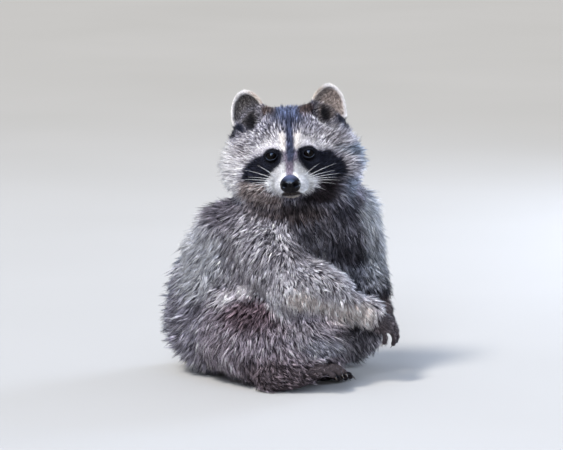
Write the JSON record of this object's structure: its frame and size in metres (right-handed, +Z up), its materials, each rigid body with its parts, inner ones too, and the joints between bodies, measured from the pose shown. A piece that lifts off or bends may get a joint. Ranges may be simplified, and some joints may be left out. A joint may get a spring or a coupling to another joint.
{
  "type": "raccoon",
  "caption": "Life-size raccoon sitting on its haunches, its hands resting on a raised knee and its bushy tail laid round behind it.",
  "frame": {"origin": "on the floor, under the middle of the animal's box", "axes": "+Z up; the face looks towards -Y, the back is towards -X and the hands reach towards +X"},
  "size_m": [0.3088, 0.3518, 0.3921],
  "materials": {
    "coat_grey": "long grizzled fur, matt",
    "coat_dark": "dark brown fur, matt",
    "coat_pale": "pale fur of the face, matt",
    "paw_skin": "fine wrinkled skin, satin",
    "nose_leather": "moist black leather, semi-gloss",
    "eye_glass": "wet, glossy",
    "claw_horn": "dark horn, satin"
  },
  "bodies": {
    "root": {"eye_left": "eye_glass", "eye_right": "eye_glass", "nose": "nose_leather", "claw_hand_right_1": "claw_horn", "claw_hand_right_2": "claw_horn", "claw_hand_right_3": "claw_horn", "claw_hand_right_4": "claw_horn", "claw_hand_right_5": "claw_horn", "hand_right": "paw_skin", "claw_hand_left_1": "claw_horn", "claw_hand_left_2": "claw_horn", "claw_hand_left_3": "claw_horn", "claw_hand_left_4": "claw_horn", "claw_hand_left_5": "claw_horn", "hand_left": "paw_skin", "claw_foot_right_1": "claw_horn", "claw_foot_right_2": "claw_horn", "claw_foot_right_3": "claw_horn", "claw_foot_right_4": "claw_horn", "claw_foot_right_5": "claw_horn", "foot_right": "paw_skin", "claw_foot_left_1": "claw_horn", "claw_foot_left_2": "claw_horn", "claw_foot_left_3": "claw_horn", "claw_foot_left_4": "claw_horn", "claw_foot_left_5": "claw_horn", "foot_left": "paw_skin", "head": "coat_pale", "ear_left": "coat_pale", "ear_right": "coat_pale", "forearm_right": "coat_grey", "upper_arm_right": "coat_grey", "shank_right": "coat_grey", "thigh_right": "coat_grey", "forearm_left": "coat_grey", "upper_arm_left": "coat_grey", "shank_left": "coat_grey", "thigh_left": "coat_grey", "pelvis": "coat_grey", "abdomen": "coat_grey", "chest": "coat_grey", "neck": "coat_grey", "tail_1": "coat_grey", "tail_2": "coat_dark", "tail_3": "coat_grey", "tail_4": "coat_dark"}
  },
  "joints": []
}
